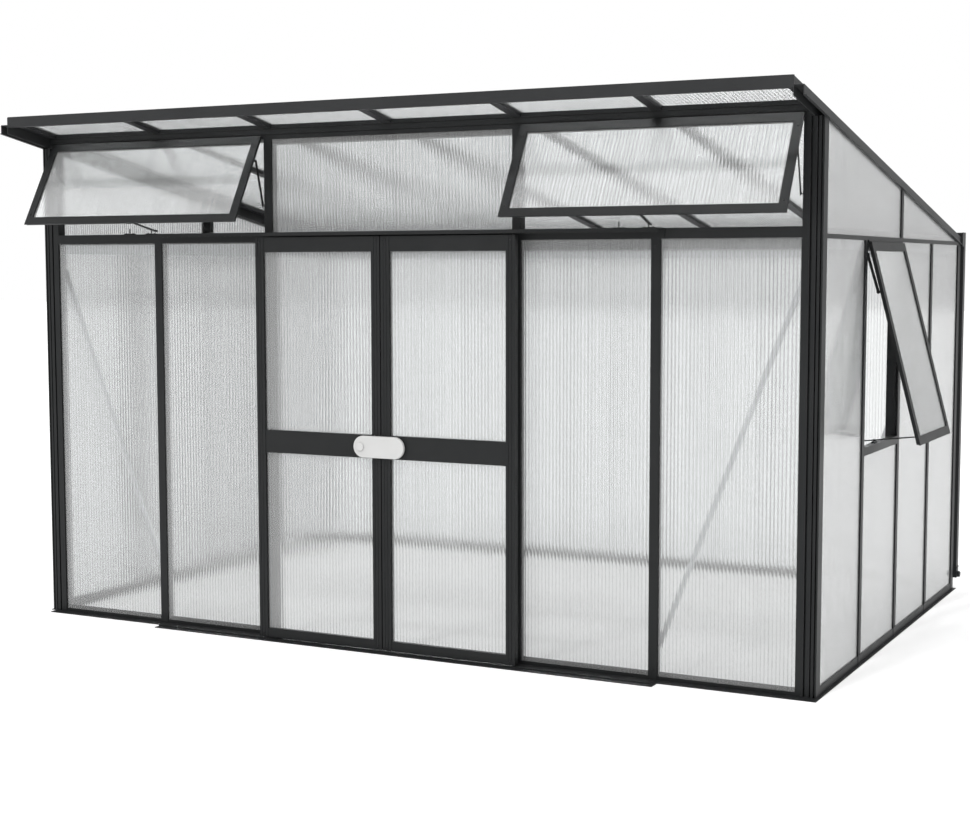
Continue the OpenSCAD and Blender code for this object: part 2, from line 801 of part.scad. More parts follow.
module upper_door_track() color(frame_color)
    along_x(track_shift - track_l / 2, track_shift + track_l / 2) {
        rect(track_y, 0, rail_top - lip_t, rail_top);
        rect(track_y, track_y + lip_t, rail_top - 16, rail_top);
        rect(-lip_t, 0, rail_top - 40, rail_top);
    }

module lower_door_track() color(frame_color)
    along_x(track_shift - track_l / 2, track_shift + track_l / 2) {
        rect(sill_y, -front_flange, 0, plate_t);
        rect(track_y, track_y + lip_t, 0, plate_t + 5);
    }

// A leaf is drawn with its meeting edge on x = 0 and its outer face on y = 0
module door_stiles() {
    difference() {
        union() {
            block(0, stile_w, 0, door_t, door_z, door_top);
            block(door_w - stile_w, door_w, 0, door_t, door_z, door_top);
        }
        door_sheets();
        for (x = [stile_w / 3, stile_w * 2 / 3, door_w - stile_w / 3, door_w - stile_w * 2 / 3])
            block(x - groove_w / 2, x + groove_w / 2, -1, groove_t, door_z - 1, door_top + 1);
    }
}

module door_rails()
    difference() {
        union() {
            block(stile_w, door_w - stile_w, 2, door_t - 2, door_z, door_low_h);
            block(stile_w, door_w - stile_w, 2, door_t - 2, door_mid_z, door_mid_z + door_mid_h);
            block(stile_w, door_w - stile_w, 2, door_t - 2, door_top - door_top_h, door_top);
        }
        door_sheets();
    }

module door_sheets() {
    y0 = door_t / 2 - sheet_t / 2;
    block(stile_w - web_hold, door_w - stile_w + web_hold, y0, y0 + sheet_t,
          door_low_h - web_hold, door_mid_z + web_hold);
    block(stile_w - web_hold, door_w - stile_w + web_hold, y0, y0 + sheet_t,
          door_mid_z + door_mid_h - web_hold, door_top - door_top_h + web_hold);
}

module at_right_door() translate([meeting_gap, door_y, 0]) children();
module at_left_door() mirror([1, 0, 0]) at_right_door() children();

module left_door_stiles() color(frame_color) at_left_door() door_stiles();
module left_door_rails() color(frame_color) at_left_door() door_rails();
module left_door_panels() color(sheet_color) at_left_door() door_sheets();
module right_door_stiles() color(frame_color) at_right_door() door_stiles();
module right_door_rails() color(frame_color) at_right_door() door_rails();
module right_door_panels() color(sheet_color) at_right_door() door_sheets();

// ---- latch ----

module at_latch() translate([-latch_x, latch_back, latch_z]) rotate([90, 0, 0]) children();

module latch_plate() color(latch_color) at_latch() {
    x0 = latch_h / 2 - latch_nose;
    x1 = x0 + latch_l - latch_h;
    difference() {
        union() {
            for (x = [x0, x1])
                translate([x, 0, 0]) rotate_extrude($fn = 64)
                    rounded_half_2d(latch_h / 2, latch_t, latch_round);
            along_x(x0, x1) {
                rounded_half_2d(latch_h / 2, latch_t, latch_round);
                mirror([1, 0]) rounded_half_2d(latch_h / 2, latch_t, latch_round);
            }
        }
        translate([0, 0, -1]) cylinder(d = spindle_d, h = latch_t + 2, $fn = 48);
    }
}

module latch_knob() color(steel_color) at_latch() {
    cylinder(d = spindle_d, h = latch_t, $fn = 48);
    translate([0, 0, latch_t]) rotate_extrude($fn = 64)
        rounded_half_2d(knob_d / 2, knob_h, knob_h / 3);
    translate([0, 0, -7]) cylinder(d = knob_d, h = 7, $fn = 64);
}

front_sill();
back_sill();
side_sills();
front_corner_posts();
back_corner_posts();
front_bars();
door_jambs();
clerestory_bars();
back_bars();
left_bars();
right_bars();
front_rail();
head_beam();
side_rails();
back_beam();
rafters();
verges();
fascia();
gutter();
downpipe();
front_panels();
back_panels();
left_panels();
right_panels();
roof_panels();
braces();
vent_rails();
vent_stiles();
vent_panels();
vent_stays();
window_rails();
window_stiles();
window_panel();
window_sill();
window_stay();
upper_door_track();
lower_door_track();
left_door_stiles();
left_door_rails();
left_door_panels();
right_door_stiles();
right_door_rails();
right_door_panels();
latch_plate();
latch_knob();
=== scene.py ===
"""Walk-in polycarbonate greenhouse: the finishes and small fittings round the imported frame."""
import math

import bmesh
import bpy
from mathutils import Matrix, Vector
from mathutils.bvhtree import BVHTree


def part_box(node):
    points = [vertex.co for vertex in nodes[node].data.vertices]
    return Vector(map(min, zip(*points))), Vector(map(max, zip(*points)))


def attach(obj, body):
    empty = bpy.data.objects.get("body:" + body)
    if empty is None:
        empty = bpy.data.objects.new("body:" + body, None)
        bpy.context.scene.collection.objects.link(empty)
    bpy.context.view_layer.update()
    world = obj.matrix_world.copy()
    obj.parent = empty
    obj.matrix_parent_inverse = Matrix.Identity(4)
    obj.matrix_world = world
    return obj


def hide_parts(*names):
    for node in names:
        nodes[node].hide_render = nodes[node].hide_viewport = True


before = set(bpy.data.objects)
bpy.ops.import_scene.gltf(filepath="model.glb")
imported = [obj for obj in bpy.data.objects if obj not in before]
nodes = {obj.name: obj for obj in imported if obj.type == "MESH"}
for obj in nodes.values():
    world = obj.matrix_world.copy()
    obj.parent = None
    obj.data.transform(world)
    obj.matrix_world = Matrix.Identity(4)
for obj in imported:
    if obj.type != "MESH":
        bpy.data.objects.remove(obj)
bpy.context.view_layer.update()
scene = bpy.context.scene

# ---- Camera, light and floor ----
# A level white studio floor under a white sky. One high, soft lamp stands in front of
# the greenhouse, a little to the left, and throws the open vents' shadows on the wall.
eye = Vector((3.7361, -6.3672, 1.6918))
turn_left = 0.473277
look_down = 0.088208
roll = -0.001231
lens = bpy.data.cameras.new("camera")
lens.lens = 62.46
lens.sensor_width = 36.0
lens.clip_end = 200.0
camera = bpy.data.objects.new("camera", lens)
scene.collection.objects.link(camera)
camera.matrix_world = (Matrix.Translation(eye)
                       @ Matrix.Rotation(turn_left, 4, "Z")
                       @ Matrix.Rotation(math.pi / 2 - look_down, 4, "X")
                       @ Matrix.Rotation(roll, 4, "Z"))
scene.camera = camera
scene.view_settings.view_transform = "Standard"

lamp = bpy.data.lights.new("studio_lamp", "SUN")
lamp.energy = 0.9
lamp.angle = math.radians(5.0)
lamp_object = bpy.data.objects.new("studio_lamp", lamp)
lamp_travel = Vector((0.2, 1.0, -1.69))
lamp_object.rotation_mode = "QUATERNION"
lamp_object.rotation_quaternion = lamp_travel.to_track_quat("-Z", "Y")
scene.collection.objects.link(lamp_object)

# the sheets are crossed many times before a ray ends
scene.cycles.max_bounces = 14
scene.cycles.transmission_bounces = 14
scene.cycles.diffuse_bounces = 1
scene.cycles.glossy_bounces = 4
scene.cycles.transparent_max_bounces = 24
scene.cycles.use_light_tree = False
scene.cycles.adaptive_threshold = 0.02
scene.cycles.adaptive_min_samples = 12
scene.cycles.caustics_refractive = False
scene.cycles.caustics_reflective = False


def put(tree, kind, inputs=None, **settings):
    """Adds one node: its settings, then its inputs, each a plain value or a socket to link."""
    made = tree.nodes.new(kind)
    for name, value in settings.items():
        setattr(made, name, value)
    for name, value in (inputs or {}).items():
        if isinstance(value, bpy.types.NodeSocket):
            tree.links.new(value, made.inputs[name])
        else:
            made.inputs[name].default_value = value
    return made


def new_material(name):
    """An empty material with its Principled shader and its output."""
    made = bpy.data.materials.new(name)
    made.use_nodes = True
    made.node_tree.nodes.clear()
    shader = put(made.node_tree, "ShaderNodeBsdfPrincipled")
    output = put(made.node_tree, "ShaderNodeOutputMaterial", {"Surface": shader.outputs["BSDF"]})
    return made, made.node_tree, shader, output


# the backdrop is plain white, and brighter overhead where the roof lets it through; as
# light it is stronger overhead than along the ground
white = (1.0, 1.0, 1.0, 1.0)
sky = bpy.data.worlds.new("sky")
sky.use_nodes = True
sky.node_tree.nodes.clear()
look = put(sky.node_tree, "ShaderNodeTexCoord")
look_axes = put(sky.node_tree, "ShaderNodeSeparateXYZ", {"Vector": look.outputs["Generated"]})


def rising_white(low_z, high_z, low_strength, high_strength):
    """White light whose strength climbs between two heights of the look direction."""
    climb = put(sky.node_tree, "ShaderNodeMapRange",
                {"Value": look_axes.outputs["Z"], "From Min": low_z, "From Max": high_z,
                 "To Min": low_strength, "To Max": high_strength})
    return put(sky.node_tree, "ShaderNodeBackground",
               {"Color": white, "Strength": climb.outputs["Result"]}).outputs[0]


seen = put(sky.node_tree, "ShaderNodeLightPath")
studio = rising_white(0.0, 0.8, 0.65, 1.2)
through_sheets = rising_white(0.06, 0.30, 1.0, 3.8)
lit = put(sky.node_tree, "ShaderNodeMixShader",
          {0: seen.outputs["Is Transmission Ray"], 1: studio, 2: through_sheets})
backdrop = put(sky.node_tree, "ShaderNodeBackground", {"Color": white, "Strength": 1.0})
either = put(sky.node_tree, "ShaderNodeMixShader",
             {0: seen.outputs["Is Camera Ray"], 1: lit.outputs[0], 2: backdrop.outputs[0]})
put(sky.node_tree, "ShaderNodeOutputWorld", {"Surface": either.outputs[0]})
scene.world = sky

floor_paint, tree, shader, _ = new_material("floor_paint")
floor_tone = 0.62
floor_glow = 0.52
shader.inputs["Base Color"].default_value = (floor_tone, floor_tone, floor_tone, 1.0)
shader.inputs["Roughness"].default_value = 0.9
shader.inputs["Emission Color"].default_value = white
shader.inputs["Emission Strength"].default_value = floor_glow
floor_mesh = bpy.data.meshes.new("floor")
reach = 60.0
hair = 0.0005
floor_mesh.from_pydata([(-reach, -reach, 0), (reach, -reach, 0), (reach, reach, 0), (-reach, reach, 0)],
                       [], [(0, 1, 2, 3)])
floor_mesh.materials.append(floor_paint)
floor = bpy.data.objects.new("floor", floor_mesh)
floor.location.z = -hair
scene.collection.objects.link(floor)

# ---- Wall frame ----
# Extruded aluminium sills, posts, bars, rails and beams, cut to length and bolted
# together, powder coated anthracite with a fine satin grain.


def shader_group(name, inputs, outputs):
    """An empty shader node group with its named sockets, and its input and output nodes."""
    made = bpy.data.node_groups.new(name, "ShaderNodeTree")
    for label, kind, value in inputs:
        socket = made.interface.new_socket(label, in_out="INPUT", socket_type=kind)
        if value is not None:
            socket.default_value = value
    for label, kind in outputs:
        made.interface.new_socket(label, in_out="OUTPUT", socket_type=kind)
    return made, put(made, "NodeGroupInput"), put(made, "NodeGroupOutput")


# a sprayed coat: a fine orange-peel height, and a slow change of tone over the metal
coat_grain, group_in, group_out = shader_group(
    "coat_grain",
    [("Vector", "NodeSocketVector", None), ("Grains per metre", "NodeSocketFloat", 900.0),
     ("Drift per metre", "NodeSocketFloat", 3.0)],
    [("Height", "NodeSocketFloat"), ("Tone", "NodeSocketFloat")])
peel = put(coat_grain, "ShaderNodeTexNoise",
           {"Vector": group_in.outputs["Vector"], "Scale": group_in.outputs["Grains per metre"],
            "Detail": 2.0})
drift = put(coat_grain, "ShaderNodeTexNoise",
            {"Vector": group_in.outputs["Vector"], "Scale": group_in.outputs["Drift per metre"],
             "Detail": 4.0, "Roughness": 0.6})
coat_grain.links.new(peel.outputs["Fac"], group_out.inputs["Height"])
coat_grain.links.new(drift.outputs["Fac"], group_out.inputs["Tone"])


def powder_coat(name, dark, light, rough):
    """Satin powder coat between two tones: the slow drift moves its tone and its roughness."""
    drift_low, drift_high = 0.3, 0.7
    rough_spread = 0.05
    peel_strength, peel_height = 0.25, 0.0002
    made, tree, shader, _ = new_material(name)
    place = put(tree, "ShaderNodeTexCoord")
    grain = put(tree, "ShaderNodeGroup", {}, node_tree=coat_grain)
    tree.links.new(place.outputs["Object"], grain.inputs["Vector"])
    tone = put(tree, "ShaderNodeMapRange",
               {"Value": grain.outputs["Tone"], "From Min": drift_low, "From Max": drift_high})
    colour = put(tree, "ShaderNodeMix", {"Factor": tone.outputs["Result"]}, data_type="RGBA")
    colour.inputs["A"].default_value = (*dark, 1.0)
    colour.inputs["B"].default_value = (*light, 1.0)
    sheen = put(tree, "ShaderNodeMapRange",
                {"Value": grain.outputs["Tone"], "From Min": drift_low, "From Max": drift_high,
                 "To Min": rough - rough_spread, "To Max": rough + rough_spread})
    bumps = put(tree, "ShaderNodeBump", {"Height": grain.outputs["Height"],
                                         "Strength": peel_strength, "Distance": peel_height})
    tree.links.new(colour.outputs["Result"], shader.inputs["Base Color"])
    tree.links.new(sheen.outputs["Result"], shader.inputs["Roughness"])
    tree.links.new(bumps.outputs["Normal"], shader.inputs["Normal"])
    shader.inputs["Specular IOR Level"].default_value = 0.18
    return made


def finish_nodes(material, names):
    """Gives CAD nodes their finish."""
    for name in names:
        nodes[name].data.materials.clear()
        nodes[name].data.materials.append(material)


anthracite = powder_coat("anthracite_coat", (0.0135, 0.0145, 0.015), (0.0190, 0.0200, 0.0205), 0.45)
finish_nodes(anthracite, ["front_sill", "back_sill", "side_sills", "front_corner_posts",
                          "back_corner_posts", "front_bars", "door_jambs", "clerestory_bars",
                          "back_bars", "left_bars", "right_bars", "front_rail", "head_beam",
                          "side_rails", "back_beam"])

# ---- Roof frame, gutter and downpipe ----
# The same aluminium extrusions and folded trims in the same anthracite powder coat, here as a copy
# painted a shade lighter: painted light for the brighter light on the roof frame.
roof_coat_painted_lighter = powder_coat("roof_coat", (0.026, 0.027, 0.028), (0.034, 0.035, 0.036), 0.45)
finish_nodes(roof_coat_painted_lighter, ["rafters", "verges", "fascia", "gutter", "downpipe"])

# ---- Twin-wall sheets ----
# Extruded polycarbonate: two thin skins held apart by webs, so each sheet is a row of
# long hollow cells, closed at both ends with tape. The cells' inner faces are slightly
# dished and bend what is seen through them sideways.


def solids_of(node):
    """The corner points of each separate solid of a CAD node."""
    work = bmesh.new()
    work.from_mesh(nodes[node].data)
    bmesh.ops.remove_doubles(work, verts=work.verts, dist=1e-5)
    seen, found = set(), []
    for start in list(work.verts):
        if start in seen:
            continue
        seen.add(start)
        waiting, points = [start], []
        while waiting:
            at = waiting.pop()
            points.append(at.co.copy())
            for edge in at.link_edges:
                other = edge.other_vert(at)
                if other not in seen:
                    seen.add(other)
                    waiting.append(other)
        found.append(points)
    work.free()
    return found


def slab_frame(points, across):
    """Where a flat slab stands: the matrix of its foot corner, width, thickness, height, top rise."""
    near = min(p[across] for p in points)
    far = max(p[across] for p in points)
    ends = []
    for side in (near, far):
        end = sorted((p for p in points if abs(p[across] - side) < 1e-4), key=lambda p: p.z)
        ends.append((end[:2], end[-2:]))
    (foot, head), (_, far_head) = ends
    up = (head[0] + head[1] - foot[0] - foot[1]) / 2
    side_way = Vector((0, 0, 0))
    side_way[across] = 1.0
    through = up.cross(side_way).normalized()
    corner, other = sorted(foot, key=lambda p: p.dot(through))
    rise = (far_head[0] + far_head[1] - head[0] - head[1]).z / 2
    turn = Matrix((side_way, through, up.normalized())).transposed().to_4x4()
    return Matrix.Translation(corner) @ turn, far - near, (other - corner).length, up.length, rise


def geometry_tree(name, inputs):
    """An empty Geometry Nodes tree with named inputs, and its input and output nodes."""
    made = bpy.data.node_groups.new(name, "GeometryNodeTree")
    made.interface.new_socket("Geometry", in_out="OUTPUT", socket_type="NodeSocketGeometry")
    for label, kind, value in inputs:
        socket = made.interface.new_socket(label, in_out="INPUT", socket_type=kind)
        if value is not None:
            socket.default_value = value
    return made, put(made, "NodeGroupInput"), put(made, "NodeGroupOutput")


def grown(tree, values, carrier_mesh=None):
    """The plain mesh that a Geometry Nodes tree makes with these inputs."""
    carrier = bpy.data.objects.new("carrier", carrier_mesh or bpy.data.meshes.new("carrier"))
    scene.collection.objects.link(carrier)
    modifier = carrier.modifiers.new("grow", "NODES")
    modifier.node_group = tree
    for item in tree.interface.items_tree:
        if item.in_out == "INPUT" and item.name in values:
            modifier[item.identifier] = values[item.name]
    ready = carrier.evaluated_get(bpy.context.evaluated_depsgraph_get())
    made = bpy.data.meshes.new_from_object(ready)
    bpy.data.objects.remove(carrier)
    finishes = [finish for finish in made.materials if finish]
    order = [finishes.index(finish) if finish else 0 for finish in made.materials]
    worn = [order[face.material_index] for face in made.polygons]
    made.materials.clear()
    for finish in finishes:
        made.materials.append(finish)
    made.polygons.foreach_set("material_index", worn)
    return made


def maths(tree, operation, a, b=0.0):
    """One Math node's result."""
    return put(tree, "ShaderNodeMath", {0: a, 1: b}, operation=operation).outputs[0]


def join_xyz(tree, x, y, z):
    """Three numbers as one vector."""
    return put(tree, "ShaderNodeCombineXYZ", {"X": x, "Y": y, "Z": z}).outputs[0]


def here(tree):
    """Each point's own place, split into X, Y and Z."""
    return put(tree, "ShaderNodeSeparateXYZ",
               {"Vector": put(tree, "GeometryNodeInputPosition").outputs[0]}).outputs


def half_of(tree, value):
    """Half of what a socket gives."""
    return maths(tree, "MULTIPLY", value, 0.5)


def twice(tree, value):
    """Twice what a socket gives."""
    return maths(tree, "MULTIPLY", value, 2.0)


def raise_far_side(tree, geometry, size):
    """Lifts the top points in step with X, which gives a slab its sloping top."""
    at = here(tree)
    lift = maths(tree, "MULTIPLY", size["Rise"], maths(tree, "DIVIDE", at["X"], size["Width"]))
    return put(tree, "GeometryNodeSetPosition",
               {"Geometry": geometry,
                "Selection": maths(tree, "GREATER_THAN", at["Z"], half_of(tree, size["Height"])),
                "Offset": join_xyz(tree, 0.0, 0.0, lift)}).outputs[0]


twin_wall, sizes, out = geometry_tree("twin_wall_sheet", [
    ("Width", "NodeSocketFloat", 0.6), ("Thickness", "NodeSocketFloat", 0.006),
    ("Height", "NodeSocketFloat", 1.8), ("Rise", "NodeSocketFloat", 0.0),
    ("Cell", "NodeSocketFloat", 0.0161), ("Web", "NodeSocketFloat", 0.0007),
    ("Skin", "NodeSocketFloat", 0.0006), ("Dish", "NodeSocketFloat", 0.0009),
    ("End", "NodeSocketFloat", 0.004), ("Skin material", "NodeSocketMaterial", None),
    ("Cell material", "NodeSocketMaterial", None)])
size = sizes.outputs
cells = maths(twin_wall, "ROUND", maths(twin_wall, "DIVIDE", size["Width"], size["Cell"]))
pitch = maths(twin_wall, "DIVIDE", size["Width"], cells)
hollow_w = maths(twin_wall, "SUBTRACT", pitch, size["Web"])
hollow_t = maths(twin_wall, "SUBTRACT", size["Thickness"], twice(twin_wall, size["Skin"]))
hollow_h = maths(twin_wall, "SUBTRACT", size["Height"], twice(twin_wall, size["End"]))
half_t = half_of(twin_wall, size["Thickness"])
half_h = half_of(twin_wall, size["Height"])
hollow = put(twin_wall, "GeometryNodeMeshCube",
             {"Size": join_xyz(twin_wall, hollow_w, hollow_t, hollow_h),
              "Vertices X": 13, "Vertices Y": 2, "Vertices Z": 2})
place = here(twin_wall)
over = maths(twin_wall, "DIVIDE", place["X"], half_of(twin_wall, hollow_w))
inward = maths(twin_wall, "MULTIPLY",
               maths(twin_wall, "MULTIPLY", maths(twin_wall, "MULTIPLY", over, over), size["Dish"]),
               maths(twin_wall, "SIGN", place["Y"]))
dished = put(twin_wall, "GeometryNodeSetPosition",
             {"Geometry": hollow.outputs["Mesh"],
              "Offset": join_xyz(twin_wall, 0.0, maths(twin_wall, "MULTIPLY", inward, -1.0), 0.0)})
first = join_xyz(twin_wall, half_of(twin_wall, pitch), half_t, half_h)
row = put(twin_wall, "GeometryNodeMeshLine",
          {"Count": cells, "Start Location": first, "Offset": join_xyz(twin_wall, pitch, 0.0, 0.0)})
copies = put(twin_wall, "GeometryNodeInstanceOnPoints",
             {"Points": row.outputs["Mesh"], "Instance": dished.outputs[0]})
plain = put(twin_wall, "GeometryNodeRealizeInstances", {"Geometry": copies.outputs[0]})
inside_out = put(twin_wall, "GeometryNodeFlipFaces", {"Mesh": plain.outputs[0]})
# the skin has two columns of faces to a cell, so that the webs' marks can be told apart
skin_box = put(twin_wall, "GeometryNodeMeshCube",
               {"Size": join_xyz(twin_wall, size["Width"], size["Thickness"], size["Height"]),
                "Vertices X": maths(twin_wall, "ADD", twice(twin_wall, cells), 1.0)})
skins = put(twin_wall, "GeometryNodeTransform",
            {"Geometry": skin_box.outputs["Mesh"],
             "Translation": join_xyz(twin_wall, half_of(twin_wall, size["Width"]), half_t, half_h)})
# every skin carries its webs' places: 1 over a web, 0 half way between two
from_web = maths(twin_wall, "FRACT",
                 maths(twin_wall, "ADD", maths(twin_wall, "DIVIDE", here(twin_wall)["X"], pitch), 0.5))
off_web = maths(twin_wall, "ABSOLUTE", maths(twin_wall, "SUBTRACT", from_web, 0.5))
web_mark = maths(twin_wall, "SUBTRACT", 1.0, twice(twin_wall, off_web))
marked = put(twin_wall, "GeometryNodeStoreNamedAttribute",
             {"Geometry": skins.outputs[0], "Name": "web", "Value": web_mark},
             data_type="FLOAT", domain="POINT")
whole = put(twin_wall, "GeometryNodeJoinGeometry")
for part, finish in ((marked, "Skin material"), (inside_out, "Cell material")):
    finished = put(twin_wall, "GeometryNodeSetMaterial",
                   {"Geometry": part.outputs[0], "Material": size[finish]})
    twin_wall.links.new(finished.outputs[0], whole.inputs[0])
twin_wall.links.new(raise_far_side(twin_wall, whole.outputs[0], size), out.inputs[0])

# faint streaks along the extrusion
streaks, group_in, group_out = shader_group(
    "extrusion_streaks",
    [("Vector", "NodeSocketVector", None), ("Stretch", "NodeSocketVector", (170.0, 0.15, 0.15))],
    [("Streak", "NodeSocketFloat")])
stretched = put(streaks, "ShaderNodeVectorMath",
                {0: group_in.outputs["Vector"], 1: group_in.outputs["Stretch"]}, operation="MULTIPLY")
streak_noise = put(streaks, "ShaderNodeTexNoise",
                   {"Vector": stretched.outputs[0], "Scale": 1.0, "Detail": 2.0, "Roughness": 0.6})
streak_range = put(streaks, "ShaderNodeMapRange",
                   {"Value": streak_noise.outputs["Fac"], "From Min": 0.3, "From Max": 0.7})
streaks.links.new(streak_range.outputs["Result"], group_out.inputs["Streak"])


def polycarbonate(name, stretch, dim, bright, haze, bend, clearness, lamp_share):
    """Clear plastic, slightly milky, streaked along its cells. Lamps reach what is behind it.

    dim and bright are its tones over the webs and between them, haze its greatest roughness,
    bend its refraction, and lamp_share what the lamp gets through each face.
    """
    web_starts = 0.45
    least_haze = 0.7
    made, tree, shader, output = new_material(name)
    place = put(tree, "ShaderNodeTexCoord")
    streak = put(tree, "ShaderNodeGroup", {}, node_tree=streaks)
    tree.links.new(place.outputs["Object"], streak.inputs["Vector"])
    streak.inputs["Stretch"].default_value = stretch
    webs = put(tree, "ShaderNodeAttribute", {}, attribute_name="web")
    between = put(tree, "ShaderNodeMapRange",
                  {"Value": webs.outputs["Fac"], "From Min": web_starts, "From Max": 1.0,
                   "To Min": 1.0, "To Max": 0.0})
    light_share = put(tree, "ShaderNodeMix", {"Factor": 0.5, "A": streak.outputs["Streak"],
                                              "B": between.outputs["Result"]})
    colour = put(tree, "ShaderNodeMix", {"Factor": light_share.outputs["Result"]}, data_type="RGBA")
    colour.inputs["A"].default_value = (0.99 * dim, 0.998 * dim, dim, 1.0)
    colour.inputs["B"].default_value = (0.992 * bright, bright, bright, 1.0)
    tree.links.new(colour.outputs["Result"], shader.inputs["Base Color"])
    if haze:
        cloud = put(tree, "ShaderNodeMapRange",
                    {"Value": streak.outputs["Streak"], "To Min": least_haze * haze, "To Max": haze})
        tree.links.new(cloud.outputs["Result"], shader.inputs["Roughness"])
    else:
        shader.inputs["Roughness"].default_value = 0.0
    shader.inputs["Transmission Weight"].default_value = clearness
    shader.inputs["IOR"].default_value = bend
    path = put(tree, "ShaderNodeLightPath")
    clear = put(tree, "ShaderNodeBsdfTransparent",
                {"Color": (lamp_share, lamp_share, lamp_share, 1.0)})
    mix = put(tree, "ShaderNodeMixShader", {0: path.outputs["Is Shadow Ray"],
                                            1: shader.outputs["BSDF"], 2: clear.outputs["BSDF"]})
    tree.links.new(mix.outputs[0], output.inputs["Surface"])
    return made


# how often the streaks change to the metre, along X, Y and Z
along_front = (170.0, 0.15, 0.15)
along_side = (0.15, 170.0, 0.15)
round_cells = (90.0, 90.0, 0.15)
front_skin = polycarbonate("front_sheet_skin", along_front, dim=0.75, bright=0.98, haze=0.11,
                           bend=1.25, clearness=0.80, lamp_share=0.95)
# the side walls' skin is the same plastic in darker tones: painted shade for the side walls, which face
# away from the lamp
side_skin_painted_shade = polycarbonate("side_sheet_skin", along_side, dim=0.60, bright=0.89, haze=0.13,
                          bend=1.12, clearness=0.80, lamp_share=0.95)
# the window's skin in the side wall is likewise painted a little darker, as painted shade
window_skin_painted_shade = polycarbonate("window_sheet_skin", along_side, dim=0.70, bright=0.94, haze=0.11,
                            bend=1.25, clearness=0.80, lamp_share=0.95)
# the roof's skin is the same plastic in lighter tones: painted light, so that the roof looks bright from
# below
roof_skin_painted_light = polycarbonate("roof_sheet_skin", along_front, dim=0.95, bright=1.0, haze=0.20,
                          bend=1.25, clearness=0.86, lamp_share=0.97)
cell_wall = polycarbonate("sheet_cells", round_cells, dim=0.97, bright=1.0, haze=0.0,
                          bend=1.25, clearness=1.0, lamp_share=1.0)


def plain_piece(name, meshes, body):
    """Joins meshes into one piece at the origin that rides on a body."""
    work = bmesh.new()
    for mesh in meshes:
        work.from_mesh(mesh)
    joined = bpy.data.meshes.new(name)
    work.to_mesh(joined)
    work.free()
    for finish in meshes[0].materials:
        joined.materials.append(finish)
    for mesh in meshes:
        bpy.data.meshes.remove(mesh)
    piece = bpy.data.objects.new(name, joined)
    scene.collection.objects.link(piece)
    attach(piece, body)
    return piece


def lay_sheets(name, node, across, material, body="root", dish=0.0009):
    """Twin-wall sheets in place of a CAD node's slabs; across is the axis of their width."""
    meshes = []
    for points in solids_of(node):
        stand, width, thickness, height, rise = slab_frame(points, across)
        sheet = grown(twin_wall, {"Width": width, "Thickness": thickness, "Height": height,
                                  "Rise": rise, "Dish": dish, "Skin material": material,
                                  "Cell material": cell_wall})
        sheet.transform(stand)
        meshes.append(sheet)
    piece = plain_piece(name, meshes, body)
    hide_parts(node)
    return piece


lay_sheets("front_sheets", "front_panels", 0, front_skin)
lay_sheets("back_sheets", "back_panels", 0, front_skin)
lay_sheets("left_sheets", "left_panels", 1, side_skin_painted_shade)
lay_sheets("right_sheets", "right_panels", 1, side_skin_painted_shade)
lay_sheets("roof_sheets", "roof_panels", 0, roof_skin_painted_light, dish=0.0003)
lay_sheets("vent_sheets", "vent_panels", 0, front_skin, dish=0.0004)
lay_sheets("window_sheet", "window_panel", 1, window_skin_painted_shade)
lay_sheets("left_door_sheets", "left_door_panels", 0, front_skin, "left_door")
lay_sheets("right_door_sheets", "right_door_panels", 0, front_skin, "right_door")

# ---- Vents, window and doors ----
# Leaf frames of the same coated aluminium. The vents and the window hang from beaded
# hinges and are held open by stays; the doors hang in the upper track and slide apart.
finish_nodes(anthracite, ["vent_rails", "vent_stiles", "vent_stays", "window_rails",
                          "window_stiles", "window_sill", "window_stay", "upper_door_track",
                          "lower_door_track", "left_door_stiles", "left_door_rails",
                          "right_door_stiles", "right_door_rails"])

# ---- Glazing beads ----
# Black rubber strips pressed in between each sheet and the metal along both of its long
# edges. They stand just proud of the bars' lips, outside and inside.
glazing_bead, sizes, out = geometry_tree("glazing_bead", [
    ("Width", "NodeSocketFloat", 0.6), ("Thickness", "NodeSocketFloat", 0.006),
    ("Height", "NodeSocketFloat", 1.8), ("Rise", "NodeSocketFloat", 0.0),
    ("Seat", "NodeSocketFloat", 0.016), ("Bead", "NodeSocketFloat", 0.004),
    ("Proud", "NodeSocketFloat", 0.0012), ("Material", "NodeSocketMaterial", None)])
size = sizes.outputs
rod = put(glazing_bead, "GeometryNodeMeshCylinder",
          {"Vertices": 8, "Radius": 1.0,
           "Depth": maths(glazing_bead, "SUBTRACT", size["Height"],
                          twice(glazing_bead, size["Seat"]))})
flat_rod = put(glazing_bead, "GeometryNodeTransform",
               {"Geometry": rod.outputs["Mesh"],
                "Scale": join_xyz(glazing_bead, half_of(glazing_bead, size["Bead"]),
                                  size["Proud"], 1.0)})
whole = put(glazing_bead, "GeometryNodeJoinGeometry")
for near_side in (True, False):
    for outer in (True, False):
        along = (size["Seat"] if near_side
                 else maths(glazing_bead, "SUBTRACT", size["Width"], size["Seat"]))
        deep = 0.0 if outer else size["Thickness"]
        strip = put(glazing_bead, "GeometryNodeTransform",
                    {"Geometry": flat_rod.outputs[0],
                     "Translation": join_xyz(glazing_bead, along, deep,
                                             half_of(glazing_bead, size["Height"]))})
        glazing_bead.links.new(strip.outputs[0], whole.inputs[0])


def finish_tree(tree, geometry, size, out):
    """Closes a tree: its instances made real, and its one material set."""
    real = put(tree, "GeometryNodeRealizeInstances", {"Geometry": geometry})
    coated = put(tree, "GeometryNodeSetMaterial",
                 {"Geometry": real.outputs[0], "Material": size["Material"]})
    tree.links.new(coated.outputs[0], out.inputs[0])


finish_tree(glazing_bead, raise_far_side(glazing_bead, whole.outputs[0], size), size, out)

rubber = powder_coat("black_rubber", (0.012, 0.012, 0.012), (0.024, 0.024, 0.024), 0.70)


